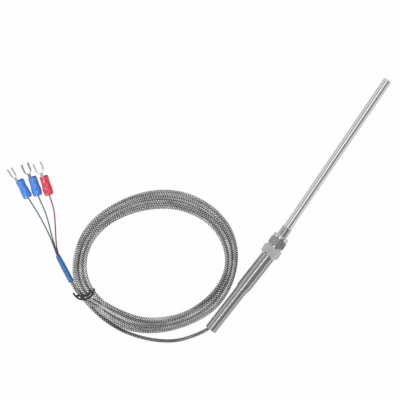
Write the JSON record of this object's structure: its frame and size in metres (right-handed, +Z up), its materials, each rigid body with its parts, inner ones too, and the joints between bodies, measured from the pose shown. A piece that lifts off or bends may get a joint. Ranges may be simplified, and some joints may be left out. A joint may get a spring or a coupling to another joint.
{
  "type": "screw-in temperature probe",
  "caption": "Slim steel sheath with a sliding threaded compression fitting, stepped close-wound strain-relief spring and coiled braided lead ending in insulated fork terminals.",
  "frame": {"origin": "on the sheath's axis, in the collar's seating face, where the process thread starts", "axes": "+X along the sheath towards its tip, +Z up from the floor that the probe lies on"},
  "size_m": [0.2571, 0.1963, 0.0138],
  "materials": {
    "polished_sheath": "polished, faintly drawn lengthwise",
    "machined_steel": "machined",
    "ferrule_brass": "machined",
    "spring_steel": "bright drawn wire",
    "element_ceramic": "matt",
    "potting": "matt cement",
    "lead_wire": "nickel-plated",
    "braided_lead": "woven steel braid over a soft core",
    "tie_plastic": "plastic-coated wire",
    "blue_shrink": "shrunk tube, satin",
    "red_insulation": "satin",
    "grey_insulation": "satin",
    "red_vinyl": "glossy, slightly see-through",
    "blue_vinyl": "glossy, slightly see-through",
    "tinned_fork": "bright tin plate"
  },
  "bodies": {
    "probe": {"probe_sheath": "polished_sheath", "transition_sleeve": "polished_sheath", "strain_relief_spring": "spring_steel", "sensing_element": "element_ceramic", "ceramic_insulator": "element_ceramic", "end_seal": "potting", "cable_entry": "braided_lead", "cable_run": "braided_lead", "cable_coil": "braided_lead", "cable_tail": "braided_lead", "coil_tie": "tie_plastic", "heat_shrink_sleeve": "blue_shrink", "core_red": "red_insulation", "core_blue_middle": "grey_insulation", "core_blue_outer": "grey_insulation", "terminal_grip_red": "red_vinyl", "terminal_grip_blue_middle": "blue_vinyl", "terminal_grip_blue_outer": "blue_vinyl", "fork_terminal_red": "tinned_fork", "inner_lead_red": "lead_wire", "splice_red": "lead_wire", "fork_terminal_blue_middle": "tinned_fork", "inner_lead_blue_middle": "lead_wire", "splice_blue_middle": "lead_wire", "fork_terminal_blue_outer": "tinned_fork", "inner_lead_blue_outer": "lead_wire", "splice_blue_outer": "lead_wire"},
    "ferrule": {"ferrule": "ferrule_brass"},
    "nut": {"compression_nut": "machined_steel"},
    "fitting": {"threaded_fitting": "machined_steel"}
  },
  "joints": [
    {"name": "ferrule_slide", "type": "slide", "parent": "probe", "child": "ferrule", "axis": [1, 0, 0], "range_m": [0, 0.115]},
    {"name": "nut_turn", "type": "hinge", "parent": "ferrule", "child": "nut", "pos_m": [-0.0134, 0, 0], "axis": [-1, 0, 0], "range_deg": [0, 720]},
    {"name": "fitting_advance", "type": "slide", "parent": "ferrule", "child": "fitting", "axis": [1, 0, 0], "range_m": [0, 0.0021]}
  ],
  "couplings": [
    {"joint": "fitting_advance", "follows": "nut_turn", "m_per_rad": 0.00015915}
  ]
}
